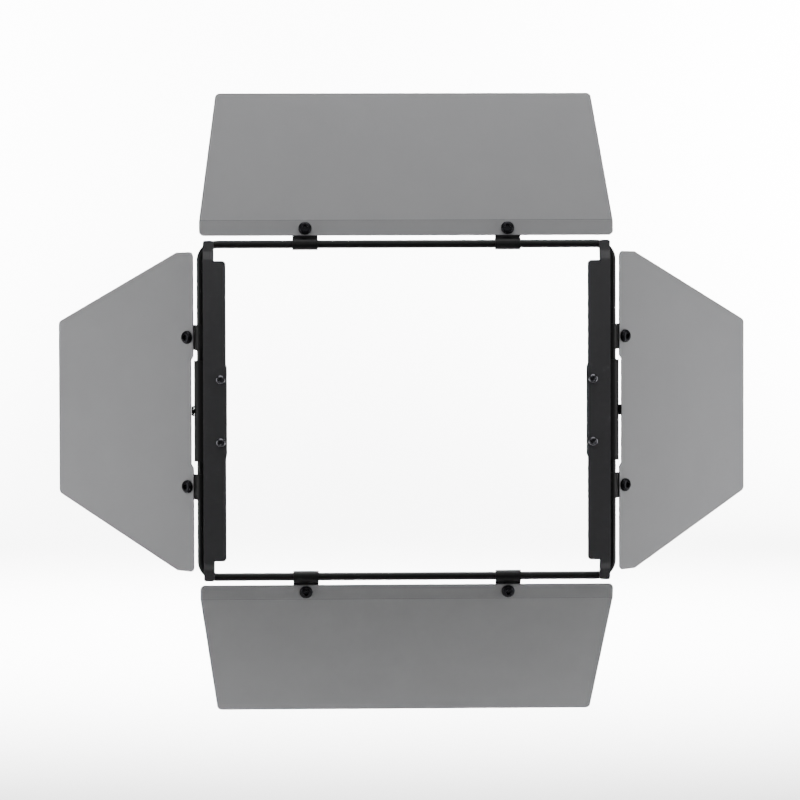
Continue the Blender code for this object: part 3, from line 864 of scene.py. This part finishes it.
def add_softbox(name, place, aim, size, watts, spread):
    """A large soft lamp turned to a point, with the angle in degrees that its light spreads over."""
    light = bpy.data.lights.new(name, "AREA")
    light.shape = "RECTANGLE"
    light.size, light.size_y = size
    light.energy = watts
    light.spread = math.radians(spread)
    lamp = bpy.data.objects.new(name, light)
    lamp.location = place
    lamp.rotation_euler = (Vector(aim) - Vector(place)).to_track_quat("-Z", "Y").to_euler()
    bpy.context.collection.objects.link(lamp)


class DOOR_OT_stage(bpy.types.Operator):
    """Set up the floor, the studio lights and the camera"""

    bl_idname = "door.stage"
    bl_label = "Stage"

    def execute(self, context):
        colours = context.scene.door_colours
        low = CAD_BOX[0][2] - FLOOR_DROP
        curve_start = SWEEP_BACK - SWEEP_CURVE
        bm = bmesh.new()
        wire = Wire(bm, SWEEP_FRONT, low)
        wire.run_to(curve_start, low)
        wire.turn(curve_start, low + SWEEP_CURVE, -math.pi / 2, 24)
        wire.run_to(SWEEP_BACK, SWEEP_TOP)
        widen(bm, SWEEP_HALF_WIDTH)
        bmesh.ops.rotate(bm, verts=bm.verts, cent=(0, 0, 0), matrix=Matrix.Rotation(math.pi / 2, 3, "Z"))
        sweep = as_object("studio_sweep", bm)
        sweep.data.polygons.foreach_set("use_smooth", [True] * len(sweep.data.polygons))
        sweep.data.materials.append(coat_material("matt_white_paint", colours.floor, 0.8, 2 * MM, 0.1, 0.0))

        world = bpy.data.worlds.new("studio")
        world.use_nodes = True
        background = world.node_tree.nodes["Background"]
        background.inputs["Color"].default_value = (1, 1, 1, 1)
        background.inputs["Strength"].default_value = WORLD_STRENGTH
        context.scene.world = world
        for softbox in SOFTBOXES:
            add_softbox(*softbox)

        camera = bpy.data.cameras.new("camera")
        camera.lens = LENS
        camera.sensor_width = SENSOR
        level = Matrix.Rotation(math.pi / 2 - CAMERA_PITCH, 4, "X")
        turn = Matrix.Rotation(-CAMERA_YAW, 4, "Z") @ level @ Matrix.Rotation(CAMERA_ROLL, 4, "Z")
        eye = bpy.data.objects.new("camera", camera)
        eye.matrix_world = turn @ at(*CAMERA_STAND)
        context.collection.objects.link(eye)
        context.scene.camera = eye
        return {"FINISHED"}


class DOOR_PT_panel(bpy.types.Panel):
    """Lists the steps that build the barn doors"""

    bl_label = "Barn Doors"
    bl_space_type = "VIEW_3D"
    bl_region_type = "UI"
    bl_category = "Barn Doors"

    def draw(self, context):
        for operator in OPERATORS:
            self.layout.operator(operator.bl_idname)


OPERATORS = (
    DOOR_OT_stage,
    DOOR_OT_bar_frame,
    DOOR_OT_leaves,
    DOOR_OT_clips,
    DOOR_OT_side_plates,
    DOOR_OT_brackets,
    DOOR_OT_screws,
    DOOR_OT_nuts,
)
SETTINGS = {
    "door_bar": BarSizes,
    "door_leaf": LeafSizes,
    "door_clip": ClipSizes,
    "door_plate": PlateSizes,
    "door_colours": DoorColours,
}


def register():
    """Make the operators, the panel and the scene's settings known to Blender."""
    for settings in SETTINGS.values():
        bpy.utils.register_class(settings)
    for operator in (*OPERATORS, DOOR_PT_panel):
        bpy.utils.register_class(operator)
    for name, settings in SETTINGS.items():
        setattr(bpy.types.Scene, name, bpy.props.PointerProperty(type=settings))


def unregister():
    """Take them all away again."""
    for name in SETTINGS:
        delattr(bpy.types.Scene, name)
    for known in (DOOR_PT_panel, *OPERATORS, *SETTINGS.values()):
        bpy.utils.unregister_class(known)


def main():
    """Build every piece."""
    register()
    for operator in OPERATORS:
        group, name = operator.bl_idname.split(".")
        getattr(getattr(bpy.ops, group), name)()


if __name__ == "__main__":
    main()
